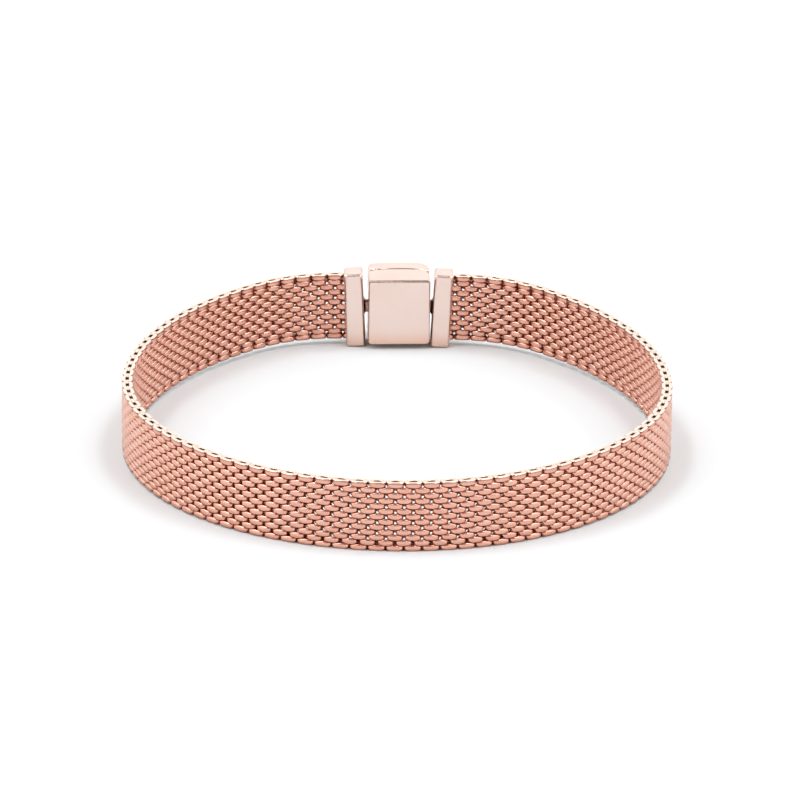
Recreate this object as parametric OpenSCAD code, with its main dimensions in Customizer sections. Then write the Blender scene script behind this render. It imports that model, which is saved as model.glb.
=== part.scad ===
// Rose-gold mesh bracelet, standing on its lower edge with its clasp at the back.
// A flat woven band runs round an egg-shaped loop into two end caps.
// Each cap carries an eye that sits on a post inside the clasp box, and a hinged lid closes the box.

/* [Loop] */
// Outer width of the loop from side to side
loop_w = 60; // [54:1:70]
// Radius of the loop's flatter sides, behind the half circle of its front, at mid thickness
side_r = 39; // [35:0.5:48]
// Radius of the two bends beside the clasp, at mid thickness
bend_r = 14.6; // [11:0.1:17]

/* [Mesh band] */
// Height of the woven band
band_h = 7.75; // [7.4:0.05:8.2]
// Thickness of the woven band
band_t = 1.2; // [0.9:0.05:1.4]
// How far the band's end reaches into an end cap
tab_l = 1.4; // [0.8:0.1:1.7]
// How much each edge of that end is trimmed back
tab_trim = 0.45; // [0.3:0.05:1]

/* [End caps] */
// Width of an end cap along the band
cap_w = 2.15; // [2:0.05:3.5]
// Thickness of an end cap
cap_t = 2.9; // [2.4:0.05:3.2]
// Height of an end cap
cap_h = 8.7; // [8.4:0.05:10]
// Corner radius of an end cap
cap_round = 0.3; // [0.1:0.05:0.5]
// Gap between an end cap and the clasp box, at mid height
cap_gap = 0.4; // [0.3:0.05:1]
// How far each cap swings on its post, with its lower end towards the box
cap_swing = 2.7; // [0:0.1:3.5]
// Clearance between the band's end and its slot in the cap
slot_play = 0.06; // [0.04:0.01:0.12]
// How far past the end cap the band still runs straight
straight_run = 0.1; // [0.05:0.05:0.5]

/* [Clasp box] */
// Width of the clasp box along the band
box_w = 7; // [6.9:0.1:10]
// Height of the clasp box
box_h = 7.8; // [7:0.05:9]
// Thickness of the base of the box at its middle
base_t = 4.05; // [3.8:0.05:4.8]
// How far the base stands in past the end caps, towards the wrist
base_in = 0.5; // [0.2:0.05:0.8]
// Bow radius of the seam between base and lid
seam_r = 11; // [9.5:0.5:25]
// Radius of the outer corner of the base at the hinge
hinge_round = 0.9; // [0.6:0.05:1.2]
// Radius of the outer corners of base and lid at the free end
free_round = 1.5; // [0.8:0.05:1.7]
// Thickness of the walls round the pocket of the base
base_wall = 0.8; // [0.6:0.05:0.85]
// Radius of the two lower corners, seen from the wrist
foot_round = 0.45; // [0.2:0.05:0.8]
// Radius of the two upper corners, seen from the wrist
head_round = 0.15; // [0.05:0.05:0.4]
// How far the box is turned about its upright axis
box_turn = 2.7; // [0:0.1:3]
// How far the middle of the box lies below the middle of the band
clasp_drop = 0.13; // [0:0.01:0.2]

/* [Lid and hinge] */
// Thickness of the lid
lid_t = 2.05; // [1.8:0.05:2.6]
// Gap between lid and base
lid_gap = 0.08; // [0.06:0.01:0.15]
// How far the lid wraps round the free corner of the base
lid_wrap = 0.7; // [0:0.1:0.8]
// Radius of the hinge pin
pin_r = 0.35; // [0.25:0.05:0.45]
// Running clearance round the pin in the lid
pin_play = 0.05; // [0.03:0.01:0.08]
// How far the pin stops short of the top of the lid
pin_cover = 0.7; // [0.4:0.1:1.2]
// How far the pin stops short of the bottom of the lid
pin_inset = 0.2; // [0.1:0.1:0.6]
// Height of the hinge ear of the base
ear_h = 2.4; // [1.6:0.1:3.4]

/* [Posts and eyes] */
// Distance of each post from the middle of the box
post_x = 1.4; // [1.35:0.05:1.45]
// How far the posts lie above the middle of the box
post_up = 0.15; // [0:0.05:0.3]
// Radius of a post
post_r = 0.55; // [0.4:0.05:0.6]
// Clearance round a post in its eye
eye_play = 0.15; // [0.1:0.01:0.18]
// Outer radius of an eye
eye_r = 1.15; // [1:0.05:1.2]
// Thickness of an eye and its neck
eye_t = 0.8; // [0.6:0.05:0.9]
// How far the eyes lie outside the middle of the band
eye_out = 0.3; // [0:0.05:0.4]
// Height of the neck between cap and eye
neck_h = 1.4; // [1:0.1:1.8]
// Clearance round eyes and necks inside the box
pocket_play = 0.15; // [0.12:0.01:0.2]

/* [Hidden] */
$fn = 96;
rose_gold = [0.89, 0.66, 0.58];
pale_rose_gold = [0.94, 0.8, 0.74];
steel = [0.75, 0.74, 0.73];
// Length added to a cut so that it breaks through cleanly
over = 1;
// Largest turn between two points of the band's outline, in degrees
arc_step = 2.5;
// How far a round corner stands past the bow before the bow trims it, so that the two cross cleanly
corner_bite = 0.005;
// How far the hinge ear stays above the eyes' room in the base
ear_clear = 0.05;

// The front of the loop is a half circle round the origin, and each side runs on in a flatter arc.
// At the clasp the band runs straight, and a bend joins that straight to each side.
front_r = (loop_w - band_t) / 2;
side_x = front_r - side_r;
straight_x = box_w / 2 + cap_gap + cap_w + cap_h * sin(cap_swing) / 2 + straight_run;
bend_y = sqrt(pow(side_r - bend_r, 2) - pow(straight_x - side_x, 2));
bend_a = atan2(bend_y, straight_x - side_x);
clasp_y = bend_y + bend_r;

// End caps, box and lid are placed from the straight
cap_x = box_w / 2 + cap_gap + cap_w / 2;
slot_x = straight_x - tab_l;
box_y = clasp_y - cap_t / 2 - base_in;
box_z = band_h / 2 - clasp_drop;
post_z = box_z + post_up;
box_deep = base_t + lid_gap + lid_t;

// Eyes, posts and pocket, measured outwards from the wrist side of the base
eye_mid = clasp_y + eye_out - box_y;
turn_play = box_w / 2 * sin(box_turn);
pocket_floor = eye_mid - eye_t / 2 - pocket_play - turn_play;
pocket_roof = eye_mid + eye_t / 2 + pocket_play + turn_play;
window_h = neck_h + 2 * pocket_play + 2 * (box_w / 2 - post_x) * sin(cap_swing);

// Hinge axis, at the middle of the rounded end of the lid
barrel_r = lid_t / 2;
bow_y = base_t - seam_r;
lid_out_r = seam_r + lid_gap + lid_t;
hinge_x = -(box_w / 2 - barrel_r);
hinge_y = bow_y + sqrt(pow(lid_out_r - barrel_r + corner_bite, 2) - pow(hinge_x, 2));
ear_r = barrel_r - lid_gap;

// The loop leans until the front of the band and the feet of the caps both touch the ground
front_y = -loop_w / 2;
cap_reach = cap_x - post_x;
cap_foot = cap_reach * sin(cap_swing) + (cap_h / 2 - cap_round) * cos(cap_swing)
    + (cap_w / 2 - cap_round) * sin(cap_swing) + cap_round;
foot_y = clasp_y - cap_t / 2;
lean = atan((cap_foot - post_z) / (foot_y - front_y));
back_y = box_y + box_deep;
middle_y = ((back_y + front_y) * cos(lean) - band_h * sin(lean)) / 2;

module lay_down() {
    translate([0, -middle_y, -front_y * sin(lean)])
        rotate([lean, 0, 0])
            children();
}

module box_place() {
    translate([0, box_y + box_deep / 2, box_z])
        rotate([0, 0, box_turn])
            translate([0, -box_deep / 2, 0])
                children();
}

// The right half of the loop, from the middle of the front to the middle of the clasp's straight.
// Each row is one arc: centre x, centre y, mid radius, first angle, last angle.
loop_arcs = [
    [0, 0, front_r, -90, 0],
    [side_x, 0, side_r, 0, bend_a],
    [straight_x, bend_y, bend_r, bend_a, 90]
];

function arc_points(arc, off) =
    let (n = ceil((arc[4] - arc[3]) / arc_step))
    [for (i = [1:n])
        let (a = arc[3] + (arc[4] - arc[3]) * i / n)
        [arc[0] + (arc[2] + off) * cos(a), arc[1] + (arc[2] + off) * sin(a)]];

function half_line(off) = concat(
    [for (arc = loop_arcs) each arc_points(arc, off)],
    [[slot_x, clasp_y + off]]
);

function mirrored(points) =
    [for (i = [len(points) - 1:-1:0]) [-points[i][0], points[i][1]]];

// The whole line from the left slot round the front to the right slot, at one distance from the middle
function loop_line(off) = concat(mirrored(half_line(off)), half_line(off));

function turned(points) = [for (i = [len(points) - 1:-1:0]) points[i]];

module band_ends_trim() {
    for (s = [-1, 1], z = [tab_trim - band_h, band_h - tab_trim])
        translate([s * (slot_x + tab_l / 2), clasp_y, z + band_h / 2])
            cube([tab_l, 2 * band_t, band_h], center = true);
}

module mesh_band() {
    color(rose_gold)
        lay_down()
            difference() {
                linear_extrude(band_h)
                    polygon(concat(loop_line(band_t / 2), turned(loop_line(-band_t / 2))));
                band_ends_trim();
            }
}

// A rectangle with round corners, low ones of radius r0 and high ones of radius r1
module round_rect(w, h, r0, r1) {
    translate([-w / 2 + r0, -h / 2])
        square([w - 2 * r0, h / 2]);
    translate([-w / 2, -h / 2 + r0])
        square([w, h - r0 - r1]);
    translate([-w / 2 + r1, 0])
        square([w - 2 * r1, h / 2]);
    for (s = [-1, 1]) {
        translate([s * (w / 2 - r0), -h / 2 + r0])
            circle(r0);
        translate([s * (w / 2 - r1), h / 2 - r1])
            circle(r1);
    }
}

// An upright block with the outline of a round_rect seen along Y, from y = 0 outwards
module face_block(w, h, deep, r0, r1) {
    translate([0, deep, 0])
        rotate([90, 0, 0])
            linear_extrude(deep)
                round_rect(w, h, r0, r1);
}

module cap_body() {
    intersection() {
        translate([0, -cap_t / 2, 0])
            face_block(cap_w, cap_h, cap_t, cap_round, cap_round);
        translate([0, 0, -cap_h / 2])
            linear_extrude(cap_h)
                round_rect(cap_w, cap_t, cap_round, cap_round);
    }
}

// Neck and eye, drawn with the post's axis at the origin and the cap towards +X
module eye_bar() {
    rotate([90, 0, 0])
        translate([0, 0, -eye_t / 2])
            difference() {
                union() {
                    cylinder(r = eye_r, h = eye_t);
                    translate([0, -neck_h / 2, 0])
                        cube([cap_reach, neck_h, eye_t]);
                }
                translate([0, 0, -over])
                    cylinder(r = post_r + eye_play, h = eye_t + 2 * over);
            }
}

// The end cap on the +X side
module end_cap() {
    difference() {
        translate([post_x, 0, post_z])
            rotate([0, cap_swing, 0]) {
                translate([cap_reach, clasp_y, 0])
                    cap_body();
                translate([0, clasp_y + eye_out, 0])
                    eye_bar();
            }
        translate([slot_x - slot_play, clasp_y - band_t / 2 - slot_play, tab_trim - slot_play])
            cube([tab_l + over, band_t + 2 * slot_play, band_h - 2 * tab_trim + 2 * slot_play]);
    }
}

module end_cap_right() {
    color(pale_rose_gold)
        lay_down()
            end_cap();
}

module end_cap_left() {
    color(pale_rose_gold)
        lay_down()
            mirror([1, 0, 0])
                end_cap();
}

// Plan of a block from y = 0 out to a bowed side of radius r, with its two outer corners round
module bowed_plan(w, r, left_round, right_round) {
    rounds = [left_round, right_round];
    corner_x = [for (c = rounds) w / 2 - c];
    corner_y = [for (c = rounds) bow_y + sqrt(pow(r - c + corner_bite, 2) - pow(w / 2 - c, 2))];
    meet_x = [for (c = rounds) (w / 2 - c) * r / (r - c)];
    intersection() {
        translate([0, bow_y])
            circle(r);
        union() {
            translate([-meet_x[0], 0])
                square([meet_x[0] + meet_x[1], bow_y + r + over]);
            for (i = [0, 1]) {
                translate([i == 0 ? -w / 2 : 0, 0])
                    square([w / 2, corner_y[i]]);
                translate([i == 0 ? -corner_x[0] : corner_x[1], corner_y[i]])
                    circle(rounds[i]);
            }
        }
    }
}

// Plan of the base, grown outwards by g
module base_plan(g) {
    bowed_plan(box_w + 2 * g, seam_r + g, hinge_round + g, free_round + g);
}

module post(s) {
    translate([s * post_x, pocket_floor - over / 2, post_up])
        rotate([-90, 0, 0])
            cylinder(r = post_r, h = pocket_roof - pocket_floor + over / 2);
}

module base_tray() {
    pocket_w = box_w - 2 * base_wall;
    pocket_h = box_h - 2 * base_wall;
    difference() {
        intersection() {
            face_block(box_w, box_h, base_t, foot_round, head_round);
            translate([0, 0, -box_h / 2])
                linear_extrude(box_h)
                    base_plan(0);
        }
        translate([-pocket_w / 2, pocket_floor, -pocket_h / 2])
            cube([pocket_w, base_t, pocket_h]);
        translate([0, pocket_floor, post_up - window_h / 2])
            cube([box_w, base_t, window_h]);
        translate([-box_w, pocket_floor, post_up - window_h / 2])
            cube([box_w, pocket_roof - pocket_floor, window_h]);
    }
}

module hinge_ear() {
    translate([0, 0, -ear_h / 2]) {
        translate([hinge_x, hinge_y, 0])
            cylinder(r = ear_r, h = ear_h);
        translate([hinge_x - ear_r, pocket_roof + ear_clear, 0])
            cube([2 * ear_r, hinge_y - pocket_roof - ear_clear, ear_h]);
    }
}

module hinge_bore(r, z0, z1) {
    translate([hinge_x, hinge_y, z0])
        cylinder(r = r, h = z1 - z0);
}

module clasp_base() {
    color(pale_rose_gold)
        lay_down()
            box_place()
                difference() {
                    union() {
                        base_tray();
                        post(-1);
                        post(1);
                        hinge_ear();
                    }
                    hinge_bore(pin_r, -ear_h / 2 - over, ear_h / 2 + over);
                }
}

module lid_plan() {
    difference() {
        bowed_plan(box_w, lid_out_r, barrel_r, free_round);
        base_plan(lid_gap);
        translate([hinge_x - box_w, -over])
            square([box_w, box_deep + 2 * over]);
        translate([0, -over])
            square([box_w, base_t - lid_wrap + over]);
    }
    translate([hinge_x, hinge_y])
        circle(barrel_r);
}

module lid_plate() {
    intersection() {
        face_block(box_w, box_h, box_deep, foot_round, head_round);
        translate([0, 0, -box_h / 2])
            linear_extrude(box_h)
                lid_plan();
    }
}

module clasp_lid() {
    color(pale_rose_gold)
        lay_down()
            box_place()
                difference() {
                    lid_plate();
                    translate([hinge_x - barrel_r - over, 0, -ear_h / 2 - lid_gap])
                        cube([2 * barrel_r + lid_gap + over, box_deep + over, ear_h + 2 * lid_gap]);
                    hinge_bore(pin_r + pin_play, -box_h / 2 - over, box_h / 2 - pin_cover + pin_play);
                }
}

module hinge_pin() {
    color(steel)
        lay_down()
            box_place()
                hinge_bore(pin_r, -box_h / 2 + pin_inset, box_h / 2 - pin_cover);
}

mesh_band();
end_cap_left();
end_cap_right();
clasp_base();
clasp_lid();
hinge_pin();
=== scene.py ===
"""Mesh bracelet: the woven band, its end caps and its clasp box, with their stage."""

import math

import bmesh
import bpy
from mathutils import Matrix, Vector


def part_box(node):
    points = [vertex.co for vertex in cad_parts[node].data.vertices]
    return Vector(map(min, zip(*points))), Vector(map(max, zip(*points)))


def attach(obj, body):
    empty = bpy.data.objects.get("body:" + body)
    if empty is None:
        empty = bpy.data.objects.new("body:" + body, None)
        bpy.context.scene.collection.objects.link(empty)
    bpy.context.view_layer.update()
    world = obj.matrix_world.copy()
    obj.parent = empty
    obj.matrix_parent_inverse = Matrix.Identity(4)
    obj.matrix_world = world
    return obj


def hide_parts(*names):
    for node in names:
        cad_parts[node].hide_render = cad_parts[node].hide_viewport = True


bl_info = {
    "name": "Mesh bracelet",
    "version": (1, 0, 0),
    "blender": (4, 5, 0),
    "location": "3D View > Sidebar > Bracelet",
    "description": "Makes a mesh bracelet with its end caps and clasp box on the packed frame",
    "category": "Add Mesh",
}

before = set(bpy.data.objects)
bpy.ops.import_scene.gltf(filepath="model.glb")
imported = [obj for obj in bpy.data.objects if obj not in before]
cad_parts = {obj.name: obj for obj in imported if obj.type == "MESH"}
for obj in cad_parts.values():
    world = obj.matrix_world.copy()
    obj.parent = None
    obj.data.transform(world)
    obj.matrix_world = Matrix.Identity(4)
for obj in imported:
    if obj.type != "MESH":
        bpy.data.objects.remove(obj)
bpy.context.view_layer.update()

MM = 0.001

# Sizes of the band, the caps and the clasp box, as in the part's source, in millimetres
LOOP_W = 60.0
SIDE_R = 39.0
BEND_R = 14.6
BAND_H = 7.75
BAND_T = 1.2
TAB_L = 1.4
CAP_W = 2.15
CAP_T = 2.9
CAP_H = 8.7
CAP_GAP = 0.4
CAP_ROUND = 0.3
CAP_SWING = math.radians(2.7)
STRAIGHT_RUN = 0.1
BOX_W = 7.0
BOX_DEEP = 6.18
BASE_IN = 0.5
CLASP_DROP = 0.13
POST_X = 1.4
POST_UP = 0.15
POST_Z = BAND_H / 2 - CLASP_DROP + POST_UP

# The loop's plan: a half circle, a flatter side arc and a bend into the clasp's straight
FRONT_R = (LOOP_W - BAND_T) / 2
SIDE_X = FRONT_R - SIDE_R
STRAIGHT_X = BOX_W / 2 + CAP_GAP + CAP_W + CAP_H * math.sin(CAP_SWING) / 2 + STRAIGHT_RUN
BEND_Y = math.sqrt((SIDE_R - BEND_R) ** 2 - (STRAIGHT_X - SIDE_X) ** 2)
BEND_A = math.degrees(math.atan2(BEND_Y, STRAIGHT_X - SIDE_X))
CLASP_Y = BEND_Y + BEND_R
SLOT_X = STRAIGHT_X - TAB_L
BACK_Y = CLASP_Y - CAP_T / 2 - BASE_IN + BOX_DEEP

# The loop leans until the front of the band and the feet of the caps touch the ground
CAP_REACH = BOX_W / 2 + CAP_GAP + CAP_W / 2 - POST_X
CAP_FOOT = (
    CAP_REACH * math.sin(CAP_SWING)
    + (CAP_H / 2 - CAP_ROUND) * math.cos(CAP_SWING)
    + (CAP_W / 2 - CAP_ROUND) * math.sin(CAP_SWING)
    + CAP_ROUND
)
LEAN = math.atan((CAP_FOOT - POST_Z) / (CLASP_Y - CAP_T / 2 + LOOP_W / 2))
MIDDLE_Y = ((BACK_Y - LOOP_W / 2) * math.cos(LEAN) - BAND_H * math.sin(LEAN)) / 2
LAY_DOWN = Matrix.Translation(
    Vector((0, -MIDDLE_Y, LOOP_W / 2 * math.sin(LEAN))) * MM
) @ Matrix.Rotation(LEAN, 4, "X")

# In millimetres, how far the weave runs into the caps and stays inside the solid it replaces, the
# step of its line and the distance within which its points are merged
RUN_IN = 0.56
FACE_INSET = 0.01
EDGE_INSET = 0.02
LINE_STEP = 0.25
MERGE_WITHIN = 0.01

# The number that the chance in the weave starts from
SEED = 7

# The wire as a tube, how square its bends and its section are, and how late a bend climbs
WIRE_SIDES = 8
LEG_STEPS = 8
BEND_POWER = 0.5
SECTION_POWER = 0.5
CLIMB_POWER = 7

# Where the tube's sides towards the band's edge begin, and the outermost of them, and from where
# on a face counts as ground flat
EDGE_SIDES = 0.1
OUTERMOST_SIDES = 0.9
WHOLLY = 0.99

# What grinding leaves on the band's edges: wider wire, a shoulder under the flat and filled bends;
# and how dark the painted shade line just under the flat is
GROUND_SPREAD = 1.05
SHOULDER = 0.86
LEAST_FILLING = 0.3
SHADE_UNDER_FLAT = 0.7


class Term:
    """A node's output that takes part in Python expressions."""

    def __init__(self, graph, socket):
        self.graph = graph
        self.socket = socket

    def out(self, name):
        return Term(self.graph, self.socket.node.outputs[name])

    def math(self, operation, *others):
        values = dict(enumerate([self, *others]))
        return self.graph.add("ShaderNodeMath", {"operation": operation}, values)

    def __add__(self, other):
        return self.math("ADD", other)

    def __radd__(self, other):
        return self.math("ADD", other)

    def __sub__(self, other):
        return self.math("SUBTRACT", other)

    def __rsub__(self, other):
        return self.graph.add("ShaderNodeMath", {"operation": "SUBTRACT"}, {0: other, 1: self})

    def __mul__(self, other):
        return self.math("MULTIPLY", other)

    def __rmul__(self, other):
        return self.math("MULTIPLY", other)

    def __truediv__(self, other):
        return self.math("DIVIDE", other)

    def __rtruediv__(self, other):
        return self.graph.add("ShaderNodeMath", {"operation": "DIVIDE"}, {0: other, 1: self})

    def __pow__(self, other):
        return self.math("POWER", other)

    def __mod__(self, other):
        return self.math("FLOORED_MODULO", other)

    def __neg__(self):
        return self * -1

    def __lt__(self, other):
        return self.math("LESS_THAN", other)

    def __gt__(self, other):
        return self.math("GREATER_THAN", other)

    def __abs__(self):
        return self.math("ABSOLUTE")

    def __floor__(self):
        return self.math("FLOOR")


class Graph:
    """Adds nodes to a tree."""

    def __init__(self, tree):
        self.tree = tree

    def add(self, kind, settings=None, values=None):
        node = self.tree.nodes.new(kind)
        for name, value in (settings or {}).items():
            setattr(node, name, value)
        for key, value in (values or {}).items():
            if isinstance(value, Term):
                self.tree.links.new(value.socket, node.inputs[key])
            else:
                node.inputs[key].default_value = value
        return Term(self, next((out for out in node.outputs if out.enabled), None))

    def xyz(self, vector):
        parts = self.add("ShaderNodeSeparateXYZ", {}, {0: vector})
        return parts.out("X"), parts.out("Y"), parts.out("Z")

    def vector(self, x=0.0, y=0.0, z=0.0):
        return self.add("ShaderNodeCombineXYZ", {}, {"X": x, "Y": y, "Z": z})

    def vectors(self, operation, a, b):
        return self.add("ShaderNodeVectorMath", {"operation": operation}, {0: a, 1: b})

    def scaled(self, vector, factor):
        values = {0: vector, "Scale": factor}
        return self.add("ShaderNodeVectorMath", {"operation": "SCALE"}, values)


def loop_points():
    """The middle line of the band from the left cap round the front to the right cap, in metres."""
    half = []
    for cx, cy, r, a0, a1 in (
        (0.0, 0.0, FRONT_R, -90.0, 0.0),
        (SIDE_X, 0.0, SIDE_R, 0.0, BEND_A),
        (STRAIGHT_X, BEND_Y, BEND_R, BEND_A, 90.0),
    ):
        count = math.ceil(math.radians(a1 - a0) * r / LINE_STEP)
        for i in range(1, count + 1):
            a = math.radians(a0 + (a1 - a0) * i / count)
            half.append((cx + r * math.cos(a), cy + r * math.sin(a)))
    half.append((SLOT_X - RUN_IN, CLASP_Y))
    line = [(-x, y) for x, y in reversed(half)] + [(0.0, -FRONT_R)] + half
    return [Vector((x, y, 0)) * MM for x, y in line]


def named(graph, name):
    return graph.add("GeometryNodeInputNamedAttribute", {"data_type": "FLOAT"}, {"Name": name})


def store(graph, geometry, name, value):
    return graph.add(
        "GeometryNodeStoreNamedAttribute",
        {"data_type": "FLOAT", "domain": "POINT"},
        {"Geometry": geometry, "Name": name, "Value": value},
    )


def wire_tube(graph):
    """A tube from -1 to 1 each way that keeps each point's place along and round the wire."""
    half_side = math.pi / WIRE_SIDES
    tube = graph.add(
        "GeometryNodeMeshCylinder",
        {"fill_type": "NONE"},
        {
            "Vertices": WIRE_SIDES,
            "Side Segments": LEG_STEPS,
            "Radius": 1 / math.cos(half_side),
            "Depth": 2.0,
        },
    )
    turned = graph.add(
        "GeometryNodeTransform", {}, {"Geometry": tube, "Rotation": (0, 0, half_side)}
    )
    out, up, along = graph.xyz(graph.add("GeometryNodeInputPosition"))
    for name, value in (("out", out), ("up", up), ("along", along)):
        turned = store(graph, turned, name, value)
    return turned


WEAVE_INPUTS = (
    ("Path", "NodeSocketGeometry"),
    ("First coil", "NodeSocketInt"),
    ("Coils", "NodeSocketInt"),
    ("Rows", "NodeSocketInt"),
    ("Start", "NodeSocketFloat"),
    ("Coil spacing", "NodeSocketFloat"),
    ("Lowest row", "NodeSocketFloat"),
    ("Row height", "NodeSocketFloat"),
    ("Bend reach", "NodeSocketFloat"),
    ("Leg depth", "NodeSocketFloat"),
    ("Wire thickness", "NodeSocketFloat"),
    ("Crest height", "NodeSocketFloat"),
    ("Bend height", "NodeSocketFloat"),
    ("Edge height", "NodeSocketFloat"),
    ("Edge filling", "NodeSocketFloat"),
    ("Unevenness", "NodeSocketFloat"),
    ("Seed", "NodeSocketInt"),
    ("Lean", "NodeSocketVector"),
    ("Place", "NodeSocketVector"),
    ("Material", "NodeSocketMaterial"),
)


def weave_tree():
    """A tree that winds flattened wire coils through each other along a path.

    Each coil stands upright. Its legs lie on every other row of one face and on the rows between
    them of the other face, and its bends hook into the coils beside it. A coil's slots are its
    rows and two more, whose legs close it into a link at the lowest and at the highest row. Every
    other coil is shorter and has no legs in those two rows.
    """
    tree = bpy.data.node_groups.new("wire coils", "GeometryNodeTree")
    for name, kind in WEAVE_INPUTS:
        tree.interface.new_socket(name=name, in_out="INPUT", socket_type=kind)
    tree.interface.new_socket(name="Mesh", in_out="OUTPUT", socket_type="NodeSocketGeometry")
    graph = Graph(tree)
    start = graph.add("NodeGroupInput")
    size = {name: start.out(name) for name, _ in WEAVE_INPUTS}

    rows = size["Rows"]
    slots = rows + 2
    index = graph.add("GeometryNodeInputIndex")
    turn = math.floor(index / slots)
    slot = index - turn * slots
    coil = turn + size["First coil"]
    closing = slot > rows - 0.5
    row = slot * (1 - closing) + (rows - 1) * (slot > rows + 0.5)
    odd = coil % 2
    at_edge = (row < 0.5) + (row > rows - 1.5)
    points = graph.add("GeometryNodePoints", {}, {"Count": size["Coils"] * slots})
    for name, value in (
        ("coil", coil),
        ("row", row),
        ("edge", (row > rows - 1.5) - (row < 0.5)),
        ("back", (closing + (coil + row) % 2) > 0.5),
        ("unused", odd * at_edge),
        ("shade", graph.add(
            "FunctionNodeRandomValue", {"data_type": "FLOAT"}, {"ID": index, "Seed": size["Seed"]}
        )),
    ):
        points = store(graph, points, name, value)
    points = graph.add(
        "GeometryNodeDeleteGeometry",
        {"domain": "POINT"},
        {"Geometry": points, "Selection": named(graph, "unused") > 0.5},
    )
    legs = graph.add(
        "GeometryNodeInstanceOnPoints", {}, {"Points": points, "Instance": wire_tube(graph)}
    )
    wires = graph.add("GeometryNodeRealizeInstances", {}, {"Geometry": legs})

    # Each leg runs from one bend over its crest to the other bend, seen from above
    t, out, up, edge = (named(graph, name) for name in ("along", "out", "up", "edge"))
    flip = 1 - named(graph, "back") * 2
    angle = t * (math.pi / 2)
    s = abs(angle.math("SINE"))
    c = abs(angle.math("COSINE"))
    reach, depth, wire, crest = (
        size[name] for name in ("Bend reach", "Leg depth", "Wire thickness", "Crest height")
    )
    side = t.math("SIGN")
    rim = abs(edge)
    reach = reach + rim * (size["Coil spacing"] - reach - wire * 0.5)
    normal = graph.add(
        "ShaderNodeVectorMath",
        {"operation": "NORMALIZE"},
        {0: graph.vector(
            side * s ** (2 - BEND_POWER) / reach, -(c ** (2 - BEND_POWER)) / depth, 0.0
        )},
    )
    filled = LEAST_FILLING + (1 - LEAST_FILLING) * s * s
    inner = (out < 0) * rim * filled * size["Edge filling"]
    cut = up * edge * -1
    ground = cut > OUTERMOST_SIDES
    across = out * (1 + ground * GROUND_SPREAD) * wire * 0.5 - inner
    line_x, line_y, _ = graph.xyz(graph.vectors(
        "ADD",
        graph.vector(side * s ** BEND_POWER * reach, -(c ** BEND_POWER) * depth, 0.0),
        graph.scaled(normal, across),
    ))
    x, y = line_x * flip, line_y * flip

    # The height of its section, flat at the band's edges, and its climb to the rows beside it
    tall = size["Bend height"] + (crest - size["Bend height"]) * (1 - s)
    rounded = up.math("SIGN") * abs(up) ** SECTION_POWER * tall * -0.5
    level = edge * size["Edge height"] * (SHOULDER + ground * (1 - SHOULDER))
    z = rounded * (cut < EDGE_SIDES) + level * (cut > EDGE_SIDES)
    climb = (1 - rim) * side * abs(t) ** CLIMB_POWER * size["Row height"] * -0.5
    loose = (1 - t * t) * size["Unevenness"] * (named(graph, "shade") - 0.5) * (1 - rim)
    tilt = loose * x / reach

    # Its place on the band's line
    path = graph.add("GeometryNodeMeshToCurve", {}, {"Mesh": size["Path"]})
    along_path = size["Start"] + named(graph, "coil") * size["Coil spacing"] + x
    on_path = graph.add(
        "GeometryNodeSampleCurve",
        {"mode": "LENGTH", "use_all_curves": True},
        {"Curves": path, "Length": along_path},
    )
    outwards = graph.vectors("CROSS_PRODUCT", on_path.out("Tangent"), (0, 0, 1))
    height = size["Lowest row"] + named(graph, "row") * size["Row height"] + z + climb + tilt
    place = graph.vectors(
        "ADD",
        on_path.out("Position"),
        graph.vectors("SUBTRACT", graph.vector(z=height), graph.scaled(outwards, y + loose * 0.5)),
    )
    # A thin painted shade line along the wire's side just under the ground flat, added to deep
    shade_under_flat = (cut > EDGE_SIDES) * (1 - ground) * SHADE_UNDER_FLAT
    wires = store(graph, wires, "deep", 1 - abs(y) / (depth + wire * 0.5) + shade_under_flat)
    wires = store(graph, wires, "ground", ground)
    wires = graph.add("GeometryNodeSetPosition", {}, {"Geometry": wires, "Position": place})
    wires = graph.add(
        "GeometryNodeMergeByDistance", {}, {"Geometry": wires, "Distance": MERGE_WITHIN * MM}
    )
    wires = graph.add(
        "GeometryNodeTransform",
        {},
        {"Geometry": wires, "Translation": size["Place"], "Rotation": size["Lean"]},
    )
    wires = graph.add(
        "GeometryNodeSetShadeSmooth",
        {},
        {"Geometry": wires, "Shade Smooth": named(graph, "ground") < WHOLLY},
    )
    wires = graph.add(
        "GeometryNodeSetMaterial", {}, {"Geometry": wires, "Material": size["Material"]}
    )
    graph.add("NodeGroupOutput", {}, {"Mesh": wires})
    return tree


def put_in_scene(name, mesh):
    piece = bpy.data.objects.new(name, mesh)
    bpy.context.scene.collection.objects.link(piece)
    return piece


def plain_mesh(piece):
    """Turns what a piece's modifiers make into its own mesh."""
    evaluated = piece.evaluated_get(bpy.context.evaluated_depsgraph_get())
    made = bpy.data.meshes.new_from_object(evaluated)
    piece.modifiers.clear()
    piece.data = made
    made.name = piece.name


def close_ends(mesh, kept):
    """Closes the open wire ends and leaves only the attributes that a finish reads."""
    shape = bmesh.new()
    shape.from_mesh(mesh)
    ends = [edge for edge in shape.edges if edge.is_boundary]
    bmesh.ops.holes_fill(shape, edges=ends, sides=WIRE_SIDES)
    shape.to_mesh(mesh)
    shape.free()
    stored = [a.name for a in mesh.attributes if a.data_type == "FLOAT" and a.domain == "POINT"]
    for name in stored:
        if name not in kept:
            mesh.attributes.remove(mesh.attributes[name])


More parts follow.
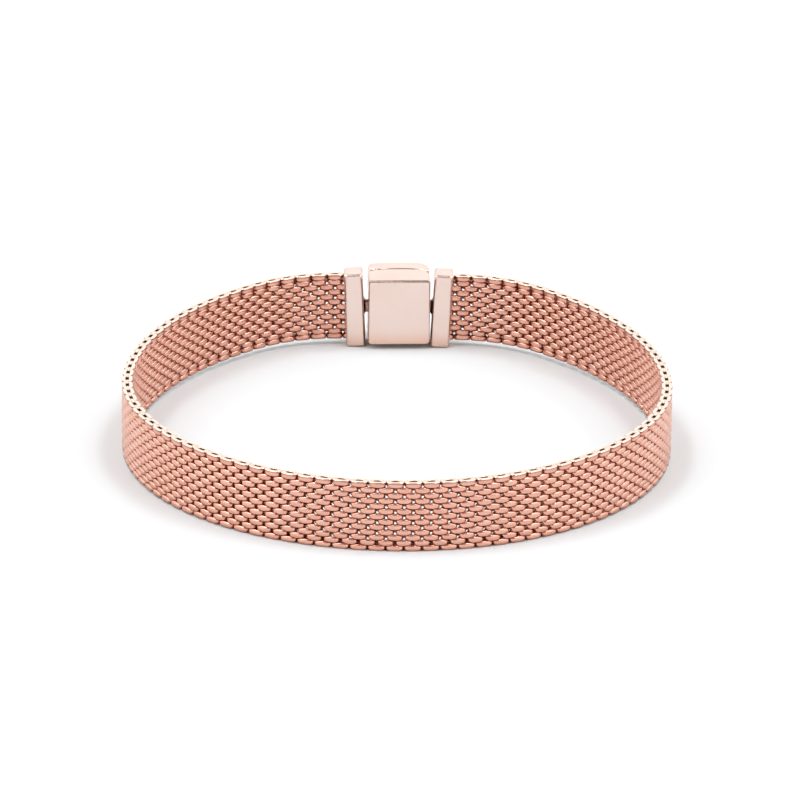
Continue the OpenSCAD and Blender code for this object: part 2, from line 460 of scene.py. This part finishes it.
def rounded_piece(node, name, width, finish):
    """A copy of a solid with softly rounded edges and its finish."""
    piece = put_in_scene(name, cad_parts[node].data.copy())
    shape = bmesh.new()
    shape.from_mesh(piece.data)
    bmesh.ops.remove_doubles(shape, verts=shape.verts, dist=0.002 * MM)
    bmesh.ops.dissolve_limit(
        shape, angle_limit=math.radians(0.6), verts=shape.verts, edges=shape.edges
    )
    shape.to_mesh(piece.data)
    shape.free()
    piece.data.shade_smooth()
    bevel = piece.modifiers.new("edges", "BEVEL")
    bevel.width = width
    bevel.segments = 3
    bevel.limit_method = "ANGLE"
    bevel.angle_limit = math.radians(40)
    bevel.use_clamp_overlap = False
    piece.modifiers.new("flats", "WEIGHTED_NORMAL").keep_sharp = True
    plain_mesh(piece)
    piece.data.materials.clear()
    piece.data.materials.append(finish)
    return piece


def new_finish(name):
    material = bpy.data.materials.new(name)
    material.use_nodes = True
    material.node_tree.nodes.clear()
    return material, Graph(material.node_tree)


def opaque(colour):
    return (*colour, 1.0)


def colour_mix(graph, factor, a, b):
    return graph.add("ShaderNodeMix", {"data_type": "RGBA"}, {0: factor, 6: a, 7: b})


def ease(graph, value, start, end):
    """0 before the start, 1 after the end and a smooth step between them."""
    return graph.add(
        "ShaderNodeMapRange",
        {"interpolation_type": "SMOOTHSTEP"},
        {"Value": value, "From Min": start, "From Max": end},
    )


def object_place(graph):
    return graph.add("ShaderNodeTexCoord").out("Object")


def attribute(graph, name):
    return graph.add("ShaderNodeAttribute", {"attribute_name": name}).out("Fac")


def noise(graph, place, scale, detail):
    values = {"Vector": place, "Scale": scale, "Detail": detail}
    return graph.add("ShaderNodeTexNoise", {}, values).out("Fac")


def bump(graph, height, strength, depth):
    """Fine relief, its depth in millimetres."""
    values = {"Strength": strength, "Distance": depth * MM, "Height": height}
    return graph.add("ShaderNodeBump", {}, values)


def metal_surface(graph, colour, roughness, normal):
    """Ends a material in bare metal."""
    surface = graph.add("ShaderNodeBsdfPrincipled", {}, {
        "Base Color": colour,
        "Metallic": 1.0,
        "Roughness": roughness,
        "Normal": normal,
    })
    graph.add("ShaderNodeOutputMaterial", {}, {"Surface": surface})


def wire_finish(look):
    """Drawn rose-gold wire, bright on its crests, with painted shade between the coils."""
    material, graph = new_finish("rose gold wire")
    place = object_place(graph)
    deep, shade, along, up, ground = (
        attribute(graph, name) for name in ("deep", "shade", "along", "up", "ground")
    )
    # Drawing marks run along each wire and differ from wire to wire
    drawn = graph.vector(along * 1.5, up * 4.0, shade * 60.0)
    streak = noise(graph, drawn, scale=1.0, detail=2.0)
    cloud = noise(graph, place, scale=900.0, detail=3.0)
    fine = noise(graph, place, scale=6000.0, detail=2.0)
    # Painted shade: the deeper a point lies between the coils, the darker the wire
    painted_gap_shade = ease(graph, deep, 0.3, 0.95)
    paleness = shade * 0.35 + cloud * 0.25 + (streak - 0.35) * 1.2
    bright = colour_mix(graph, paleness, opaque(look.wire_colour), opaque(look.crest_colour))
    wire = colour_mix(graph, painted_gap_shade, bright, opaque(look.painted_shade_colour))
    metal_surface(
        graph,
        colour=colour_mix(graph, ground, wire, opaque(look.ground_colour)),
        roughness=look.wire_roughness + cloud * 0.08 + painted_gap_shade * 0.15 - ground * 0.1,
        normal=bump(graph, fine, strength=0.15, depth=0.02),
    )
    return material


# The camera, from the photo's outlines: what it aims at in the band's own frame and its distance,
# both in millimetres, its angles, its scale at that distance and where the aim shows in the picture
AIM = (0.0, 1.852, BAND_H / 2)
CAMERA_AWAY = 700.0
CAMERA_UP = math.radians(21.5)
CAMERA_ROLL = math.radians(-0.719)
IMAGE = 800
PIXELS_PER_MM = 9.138
AIM_PIXEL = (396.921, 406.27)
SENSOR = 36.0


def place_camera(camera):
    """Sets the photo's viewing angle, distance and framing."""
    ahead = Vector((0, math.cos(CAMERA_UP), -math.sin(CAMERA_UP)))
    right = Vector((1, 0, 0))
    up = Vector((0, math.sin(CAMERA_UP), math.cos(CAMERA_UP)))
    rolled_right = math.cos(CAMERA_ROLL) * right - math.sin(CAMERA_ROLL) * up
    rolled_up = math.sin(CAMERA_ROLL) * right + math.cos(CAMERA_ROLL) * up
    turn = Matrix((rolled_right, rolled_up, -ahead)).transposed().to_4x4()
    seat = (Vector(AIM) - ahead * CAMERA_AWAY) * MM
    camera.matrix_world = LAY_DOWN @ Matrix.Translation(seat) @ turn
    camera.data.sensor_width = SENSOR
    camera.data.lens = PIXELS_PER_MM * CAMERA_AWAY * SENSOR / IMAGE
    camera.data.shift_x = (IMAGE / 2 - AIM_PIXEL[0]) / IMAGE
    camera.data.shift_y = (AIM_PIXEL[1] - IMAGE / 2) / IMAGE
    camera.data.clip_start = 0.01
    camera.data.clip_end = 20.0


# Name, place, width and height in metres, and share of the light power
LIGHTS = (
    ("left light", (-1.1, -0.3, 1.15), 0.8, 0.6, 1.0),
    ("right light", (1.1, -0.1, 1.15), 0.8, 0.6, 0.8),
)


def polished_finish(name, look, node, neck=0.0, cover=False):
    """Polished rose gold with faint wiping marks, edges worn paler and painted shade inside.

    The painted shade lies on the inside, on a cover only on its inner face, and with a neck, on all
    that lies nearer to the loop's middle plane than that distance.
    """
    material, graph = new_finish(name)
    low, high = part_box(node)
    place = object_place(graph)

    # Distances from the piece's middle, 1 at its sides, and the nearness to its edges
    from_middle = graph.vectors("SUBTRACT", place, (low + high) / 2)
    a, b, c = (abs(part) / size for part, size in zip(graph.xyz(from_middle), (high - low) / 2))
    larger = a.math("MAXIMUM", b)
    near = a.math("MINIMUM", b).math("MAXIMUM", larger.math("MINIMUM", c))

    x, _, height = graph.xyz(place)
    # Where painted shade falls: inside the piece, or with a neck, near the loop's middle plane
    if neck:
        hidden = abs(x) < neck
    else:
        hidden = 1 - ease(graph, larger.math("MAXIMUM", c), 0.72, 0.84)
    if cover:
        _, facing_back, _ = graph.xyz(place.out("Normal"))
        hidden = hidden * (facing_back < -0.5)

    wiped = graph.add("ShaderNodeMapping", {}, {
        "Vector": place,
        "Rotation": (0.0, math.radians(24), 0.0),
        "Scale": (900.0, 900.0, 9000.0),
    })
    marks = noise(graph, wiped, scale=1.0, detail=3.0)
    cloud = noise(graph, place, scale=260.0, detail=2.0)
    fine = noise(graph, place, scale=2600.0, detail=4.0)
    worn = ease(graph, near + (fine - 0.5) * 0.08, 0.88, 1.0)
    # A painted warm bounce of light from the floor, strongest at the bottom; warmth adds it to
    # random clouds
    painted_bounce = 1 - ease(graph, height, low.z, low.z + (high.z - low.z) * 0.25)
    warmth = cloud * 0.4 + painted_bounce * 0.9
    # Painted shade: the metal darkened towards the shade colour where it lies inside
    painted_shade = hidden * (0.3 + fine * 0.5)
    base = colour_mix(
        graph, warmth, opaque(look.polished_colour), opaque(look.polished_warm_colour)
    )
    open_metal = colour_mix(graph, worn * 0.25, base, opaque(look.worn_colour))
    rougher = marks * 0.08 + cloud * 0.05 + worn * 0.1 + hidden * 0.2
    metal_surface(
        graph,
        colour=colour_mix(graph, painted_shade, open_metal, opaque(look.painted_shade_colour)),
        roughness=look.polished_roughness + rougher,
        normal=bump(graph, marks + fine * 0.5, strength=0.12, depth=0.01),
    )
    return material


STEEL_IN_LINES = (0.5, 0.49, 0.48, 1.0)


def pin_finish(look):
    """Drawn steel with fine lines along the pin."""
    material, graph = new_finish("drawn steel")
    drawn = graph.add("ShaderNodeMapping", {}, {
        "Vector": object_place(graph),
        "Scale": (9000.0, 9000.0, 500.0),
    })
    lines = noise(graph, drawn, scale=1.0, detail=3.0)
    metal_surface(
        graph,
        colour=colour_mix(graph, lines, opaque(look.steel_colour), STEEL_IN_LINES),
        roughness=0.25 + lines * 0.15,
        normal=bump(graph, lines, strength=0.2, depth=0.01),
    )
    return material


def floor_finish(look):
    """Smooth white paper."""
    material, graph = new_finish("white paper")
    grain = noise(graph, object_place(graph), scale=400.0, detail=3.0)
    surface = graph.add("ShaderNodeBsdfPrincipled", {}, {
        "Base Color": opaque(look.floor_colour),
        "Roughness": 0.55 + grain * 0.1,
        "Specular IOR Level": 0.2,
    })
    graph.add("ShaderNodeOutputMaterial", {}, {"Surface": surface})
    return material


class BandSizes(bpy.types.PropertyGroup):
    """Sizes of the woven band."""

    coil_spacing: bpy.props.FloatProperty(
        name="Coil spacing",
        description="Distance from one wire coil to the next along the band",
        default=0.948 * MM, min=0.6 * MM, max=2 * MM, unit="LENGTH", precision=5,
    )
    rows: bpy.props.IntProperty(
        name="Rows",
        description="Number of rows of wire up the band, an odd number",
        default=13, min=3, max=31,
    )
    row_height: bpy.props.FloatProperty(
        name="Row height",
        description="Distance from one row of wire to the next up the band",
        default=0.594 * MM, min=0.3 * MM, max=1 * MM, unit="LENGTH", precision=5,
    )
    shift: bpy.props.FloatProperty(
        name="Shift",
        description="How far the weave is moved along the band, its ends staying in the caps",
        default=-0.06 * MM, min=-0.3 * MM, max=0.3 * MM, unit="LENGTH", precision=5,
    )
    wire_thickness: bpy.props.FloatProperty(
        name="Wire thickness",
        description="Thickness of the wire",
        default=0.32 * MM, min=0.1 * MM, max=0.6 * MM, unit="LENGTH", precision=5,
    )
    crest_height: bpy.props.FloatProperty(
        name="Crest height",
        description="Height of a leg of wire at its flattened middle",
        default=0.68 * MM, min=0.1 * MM, max=1 * MM, unit="LENGTH", precision=5,
    )
    bend_height: bpy.props.FloatProperty(
        name="Bend height",
        description="Height of the wire in its bends",
        default=0.38 * MM, min=0.1 * MM, max=1 * MM, unit="LENGTH", precision=5,
    )
    edge_filling: bpy.props.FloatProperty(
        name="Edge filling",
        description="Extra thickness in the bends of the closed links along both edges",
        default=0.26 * MM, min=0.0, max=0.5 * MM, unit="LENGTH", precision=5,
    )
    reach: bpy.props.FloatProperty(
        name="Bend reach",
        description="Distance from the middle of a coil to the middle of the wire in its bends",
        default=0.72 * MM, min=0.3 * MM, max=2 * MM, unit="LENGTH", precision=5,
    )
    unevenness: bpy.props.FloatProperty(
        name="Unevenness",
        description="How far the legs of the wire stray from their even places",
        default=0.05 * MM, min=0.0, max=0.2 * MM, unit="LENGTH", precision=5,
    )


class Looks(bpy.types.PropertyGroup):
    """Colours, gloss and light."""

    wire_colour: bpy.props.FloatVectorProperty(
        name="Wire",
        description="Colour of the woven wire",
        subtype="COLOR", default=(0.70, 0.35, 0.26), min=0, max=1,
    )
    crest_colour: bpy.props.FloatVectorProperty(
        name="Wire crest",
        description="Colour of the palest wire",
        subtype="COLOR", default=(0.82, 0.48, 0.38), min=0, max=1,
    )
    # Colour of the painted shade between the wires and inside the clasp box and necks
    painted_shade_colour: bpy.props.FloatVectorProperty(
        name="Between the wires",
        description="Colour of the tarnish between the wires",
        subtype="COLOR", default=(0.27, 0.065, 0.04), min=0, max=1,
    )
    ground_colour: bpy.props.FloatVectorProperty(
        name="Ground edges",
        description="Colour of the wire where the band's edges are ground and polished",
        subtype="COLOR", default=(0.86, 0.72, 0.61), min=0, max=1,
    )
    polished_colour: bpy.props.FloatVectorProperty(
        name="Caps and clasp",
        description="Colour of the polished metal",
        subtype="COLOR", default=(0.81, 0.66, 0.60), min=0, max=1,
    )
    # This warm colour serves both random clouds and the painted warm bounce near the bottom
    polished_warm_colour: bpy.props.FloatVectorProperty(
        name="Caps and clasp, warm",
        description="Warmer cloudiness of the polished metal",
        subtype="COLOR", default=(0.77, 0.52, 0.42), min=0, max=1,
    )
    worn_colour: bpy.props.FloatVectorProperty(
        name="Worn edges",
        description="Colour where the plating is worn",
        subtype="COLOR", default=(0.92, 0.80, 0.72), min=0, max=1,
    )
    steel_colour: bpy.props.FloatVectorProperty(
        name="Pin",
        description="Colour of the hinge pin",
        subtype="COLOR", default=(0.66, 0.65, 0.64), min=0, max=1,
    )
    floor_colour: bpy.props.FloatVectorProperty(
        name="Floor",
        description="Colour of the floor",
        subtype="COLOR", default=(0.67, 0.715, 0.74), min=0, max=1,
    )
    wire_roughness: bpy.props.FloatProperty(
        name="Wire roughness",
        description="Roughness of the woven wire",
        default=0.2, min=0, max=1, subtype="FACTOR",
    )
    polished_roughness: bpy.props.FloatProperty(
        name="Polish roughness",
        description="Roughness of the polished metal",
        default=0.16, min=0, max=1, subtype="FACTOR",
    )
    edge_rounding: bpy.props.FloatProperty(
        name="Edge rounding",
        description="Width of the rounding on the edges of caps and clasp",
        default=0.25 * MM, min=0.0, max=0.3 * MM, unit="LENGTH", precision=5,
    )
    light_power: bpy.props.FloatProperty(
        name="Light",
        description="Power of the main light",
        default=2.8, min=0, max=100, unit="POWER",
    )
    sky_strength: bpy.props.FloatProperty(
        name="Surroundings",
        description="Brightness of the studio in front",
        default=1.1, min=0, max=5,
    )
    back_strength: bpy.props.FloatProperty(
        name="Background",
        description="Brightness of the studio behind the bracelet",
        default=1.32, min=0, max=5,
    )
    side_strength: bpy.props.FloatProperty(
        name="Sides",
        description="Extra brightness of the studio to the left and right",
        default=0.55, min=0, max=5,
    )
    roof_colour: bpy.props.FloatVectorProperty(
        name="Roof",
        description="Colour of the dark strip over the bracelet",
        subtype="COLOR", default=(0.12, 0.045, 0.035), min=0, max=1,
    )


# The light tent's soft edges: where each begins and ends, as parts of a direction of length 1
BACK_WALL = (-0.2, 0.8)
STRIP_FOOT = (0.26, 0.6)
STRIP_SIDES = (0.25, 0.6)
PANEL_SIDES = (0.15, 0.27)
PANEL_FOOT = (0.86, 0.92)
ZENITH = (0.92, 0.98)
SKIRTING_TOP = (0.08, 0.22)
SIDE_WALLS = (0.35, 0.8)
SIDE_WALLS_FOOT = (0.1, 0.35)

# How much higher the strip ends at the back, how much paler it is at the zenith, how much dimmer
# the skirting and brighter the panels are than the walls, and the walls' colour
STRIP_RISE = 0.16
ZENITH_PALER = 0.35
SKIRTING_DIMMER = 0.7
PANELS_BRIGHTER = 7.8
WALL_COLOUR = (1.0, 0.995, 0.985, 1.0)


def paint_surroundings(graph, look):
    """A light tent with pale walls and a dim skirting behind.

    Overhead a dark strip runs from front to back, with a bright panel on each side of the zenith.
    """
    graph.tree.nodes.clear()
    across, behind, height = graph.xyz(graph.add("ShaderNodeTexCoord").out("Generated"))
    sideways = abs(across)
    back = ease(graph, behind, *BACK_WALL)
    panels = ease(graph, sideways, *PANEL_SIDES) * ease(graph, height, *PANEL_FOOT)
    strip = ease(graph, height - back * STRIP_RISE, *STRIP_FOOT)
    strip = strip * (1 - ease(graph, sideways, *STRIP_SIDES)) * (1 - panels)
    strip = strip * (1 - ease(graph, height, *ZENITH) * ZENITH_PALER)
    skirting = back * (1 - ease(graph, height, *SKIRTING_TOP))
    side = ease(graph, sideways, *SIDE_WALLS) * ease(graph, height, *SIDE_WALLS_FOOT)
    wall = look.sky_strength + back * (look.back_strength - look.sky_strength)
    wall = wall - skirting * SKIRTING_DIMMER + side * look.side_strength
    wall = wall + panels * PANELS_BRIGHTER
    colour = colour_mix(graph, strip, WALL_COLOUR, opaque(look.roof_colour))
    sky = graph.add("ShaderNodeBackground", {}, {"Color": colour, "Strength": wall})
    graph.add("ShaderNodeOutputWorld", {}, {"Surface": sky})


FLOOR_REACH = 3.0


class BRACELET_OT_stage(bpy.types.Operator):
    """Make the floor, the studio light and the camera"""

    bl_idname = "bracelet.stage"
    bl_label = "Floor, light and camera"

    def execute(self, context):
        look = context.scene.bracelet_looks
        shape = bmesh.new()
        bmesh.ops.create_grid(shape, x_segments=1, y_segments=1, size=FLOOR_REACH)
        mesh = bpy.data.meshes.new("floor")
        shape.to_mesh(mesh)
        shape.free()
        floor = put_in_scene("floor", mesh)
        mesh.materials.append(floor_finish(look))

        world = bpy.data.worlds.new("studio")
        world.use_nodes = True
        paint_surroundings(Graph(world.node_tree), look)
        context.scene.world = world
        context.scene.view_settings.view_transform = "Standard"

        for name, place, width, height, share in LIGHTS:
            light = bpy.data.lights.new(name, "AREA")
            light.shape = "RECTANGLE"
            light.size = width
            light.size_y = height
            light.energy = look.light_power * share
            lamp = put_in_scene(name, light)
            lamp.location = place
            lamp.rotation_euler = (-Vector(place)).to_track_quat("-Z", "Y").to_euler()

        camera = put_in_scene("camera", bpy.data.cameras.new("camera"))
        place_camera(camera)
        context.scene.camera = camera
        return {"FINISHED"}


class BRACELET_OT_mesh_band(bpy.types.Operator):
    """Weave the band from wire coils"""

    bl_idname = "bracelet.mesh_band"
    bl_label = "Mesh band"

    def execute(self, context):
        sizes = context.scene.bracelet_band
        line = loop_points()
        length = sum((b - a).length for a, b in zip(line, line[1:]))
        end_room = sizes.reach + sizes.wire_thickness / 2 + abs(sizes.shift)
        coils = 1 + math.floor((length - 2 * end_room) / sizes.coil_spacing)
        depth = (BAND_T * MM - sizes.wire_thickness) / 2 - FACE_INSET * MM
        lowest_row = (BAND_H * MM - (sizes.rows - 1) * sizes.row_height) / 2
        tree = weave_tree()
        finish = wire_finish(context.scene.bracelet_looks)
        halves = ((0, coils // 2, "mesh_left"), (coils // 2, coils - coils // 2, "mesh_right"))
        for first, count, name in halves:
            mesh = bpy.data.meshes.new("loop line")
            mesh.from_pydata(line, [(i, i + 1) for i in range(len(line) - 1)], [])
            piece = put_in_scene(name, mesh)
            weave = piece.modifiers.new("weave", "NODES")
            weave.node_group = tree
            values = {
                "First coil": first,
                "Coils": count,
                "Rows": sizes.rows,
                "Start": (length - (coils - 1) * sizes.coil_spacing) / 2 + sizes.shift,
                "Coil spacing": sizes.coil_spacing,
                "Lowest row": lowest_row,
                "Row height": sizes.row_height,
                "Bend reach": sizes.reach,
                "Leg depth": depth,
                "Wire thickness": sizes.wire_thickness,
                "Crest height": sizes.crest_height,
                "Bend height": sizes.bend_height,
                "Edge height": lowest_row - EDGE_INSET * MM,
                "Edge filling": sizes.edge_filling,
                "Unevenness": sizes.unevenness,
                "Seed": SEED,
                "Lean": LAY_DOWN.to_euler(),
                "Place": LAY_DOWN.translation,
                "Material": finish,
            }
            for item in tree.interface.items_tree:
                if item.in_out == "INPUT" and item.name in values:
                    weave[item.identifier] = values[item.name]
            plain_mesh(piece)
            if not piece.data.polygons:
                raise RuntimeError(f"the weave of {name} came out empty")
            close_ends(piece.data, ("along", "deep", "ground", "shade", "up"))
            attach(piece, "bracelet")
            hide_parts("mesh_band")
        return {"FINISHED"}


def finish_piece(node, body, name, look, rounding=1.0, neck=0.0, cover=False):
    """Puts a softly rounded, polished piece in a solid's place on its body."""
    finish = polished_finish(name + " metal", look, node, neck, cover)
    piece = rounded_piece(node, name, look.edge_rounding * rounding, finish)
    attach(piece, body)
    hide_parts(node)


# The share of the gap between box and cap in which the cap's neck gets painted shade
NECK_SHARE = 0.9


class BRACELET_OT_end_caps(bpy.types.Operator):
    """Round and finish the two end caps"""

    bl_idname = "bracelet.end_caps"
    bl_label = "End caps"

    def execute(self, context):
        look = context.scene.bracelet_looks
        neck = (BOX_W / 2 + CAP_GAP * NECK_SHARE) * MM
        finish_piece("end_cap_left", "bracelet", "cap_left", look, neck=neck)
        finish_piece("end_cap_right", "bracelet", "cap_right", look, neck=neck)
        return {"FINISHED"}


class BRACELET_OT_clasp_base(bpy.types.Operator):
    """Round and finish the inner half of the clasp box"""

    bl_idname = "bracelet.clasp_base"
    bl_label = "Clasp base"

    def execute(self, context):
        finish_piece("clasp_base", "bracelet", "box_base", context.scene.bracelet_looks)
        return {"FINISHED"}


class BRACELET_OT_clasp_lid(bpy.types.Operator):
    """Round and finish the hinged lid of the clasp box"""

    bl_idname = "bracelet.clasp_lid"
    bl_label = "Clasp lid"

    def execute(self, context):
        look = context.scene.bracelet_looks
        finish_piece("clasp_lid", "lid", "box_lid", look, rounding=0.5, cover=True)
        return {"FINISHED"}


class BRACELET_OT_hinge_pin(bpy.types.Operator):
    """Give the hinge pin its finish"""

    bl_idname = "bracelet.hinge_pin"
    bl_label = "Hinge pin"

    def execute(self, context):
        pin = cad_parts["hinge_pin"]
        pin.data.materials.clear()
        pin.data.materials.append(pin_finish(context.scene.bracelet_looks))
        return {"FINISHED"}


OPERATORS = (
    BRACELET_OT_stage,
    BRACELET_OT_mesh_band,
    BRACELET_OT_end_caps,
    BRACELET_OT_clasp_base,
    BRACELET_OT_clasp_lid,
    BRACELET_OT_hinge_pin,
)


class BRACELET_PT_panel(bpy.types.Panel):
    """Lists what the bracelet is made of"""

    bl_idname = "BRACELET_PT_panel"
    bl_label = "Mesh bracelet"
    bl_space_type = "VIEW_3D"
    bl_region_type = "UI"
    bl_category = "Bracelet"

    def draw(self, context):
        for group in (context.scene.bracelet_band, context.scene.bracelet_looks):
            column = self.layout.column(align=True)
            for name in group.__annotations__:
                column.prop(group, name)
        column = self.layout.column()
        for operator in OPERATORS:
            column.operator(operator.bl_idname)


CLASSES = (BandSizes, Looks, *OPERATORS, BRACELET_PT_panel)


def register():
    for cls in CLASSES:
        bpy.utils.register_class(cls)
    bpy.types.Scene.bracelet_band = bpy.props.PointerProperty(type=BandSizes)
    bpy.types.Scene.bracelet_looks = bpy.props.PointerProperty(type=Looks)


def unregister():
    del bpy.types.Scene.bracelet_looks
    del bpy.types.Scene.bracelet_band
    for cls in reversed(CLASSES):
        bpy.utils.unregister_class(cls)


def main():
    register()
    for operator in OPERATORS:
        family, name = operator.bl_idname.split(".")
        getattr(getattr(bpy.ops, family), name)()


if __name__ == "__main__":
    main()
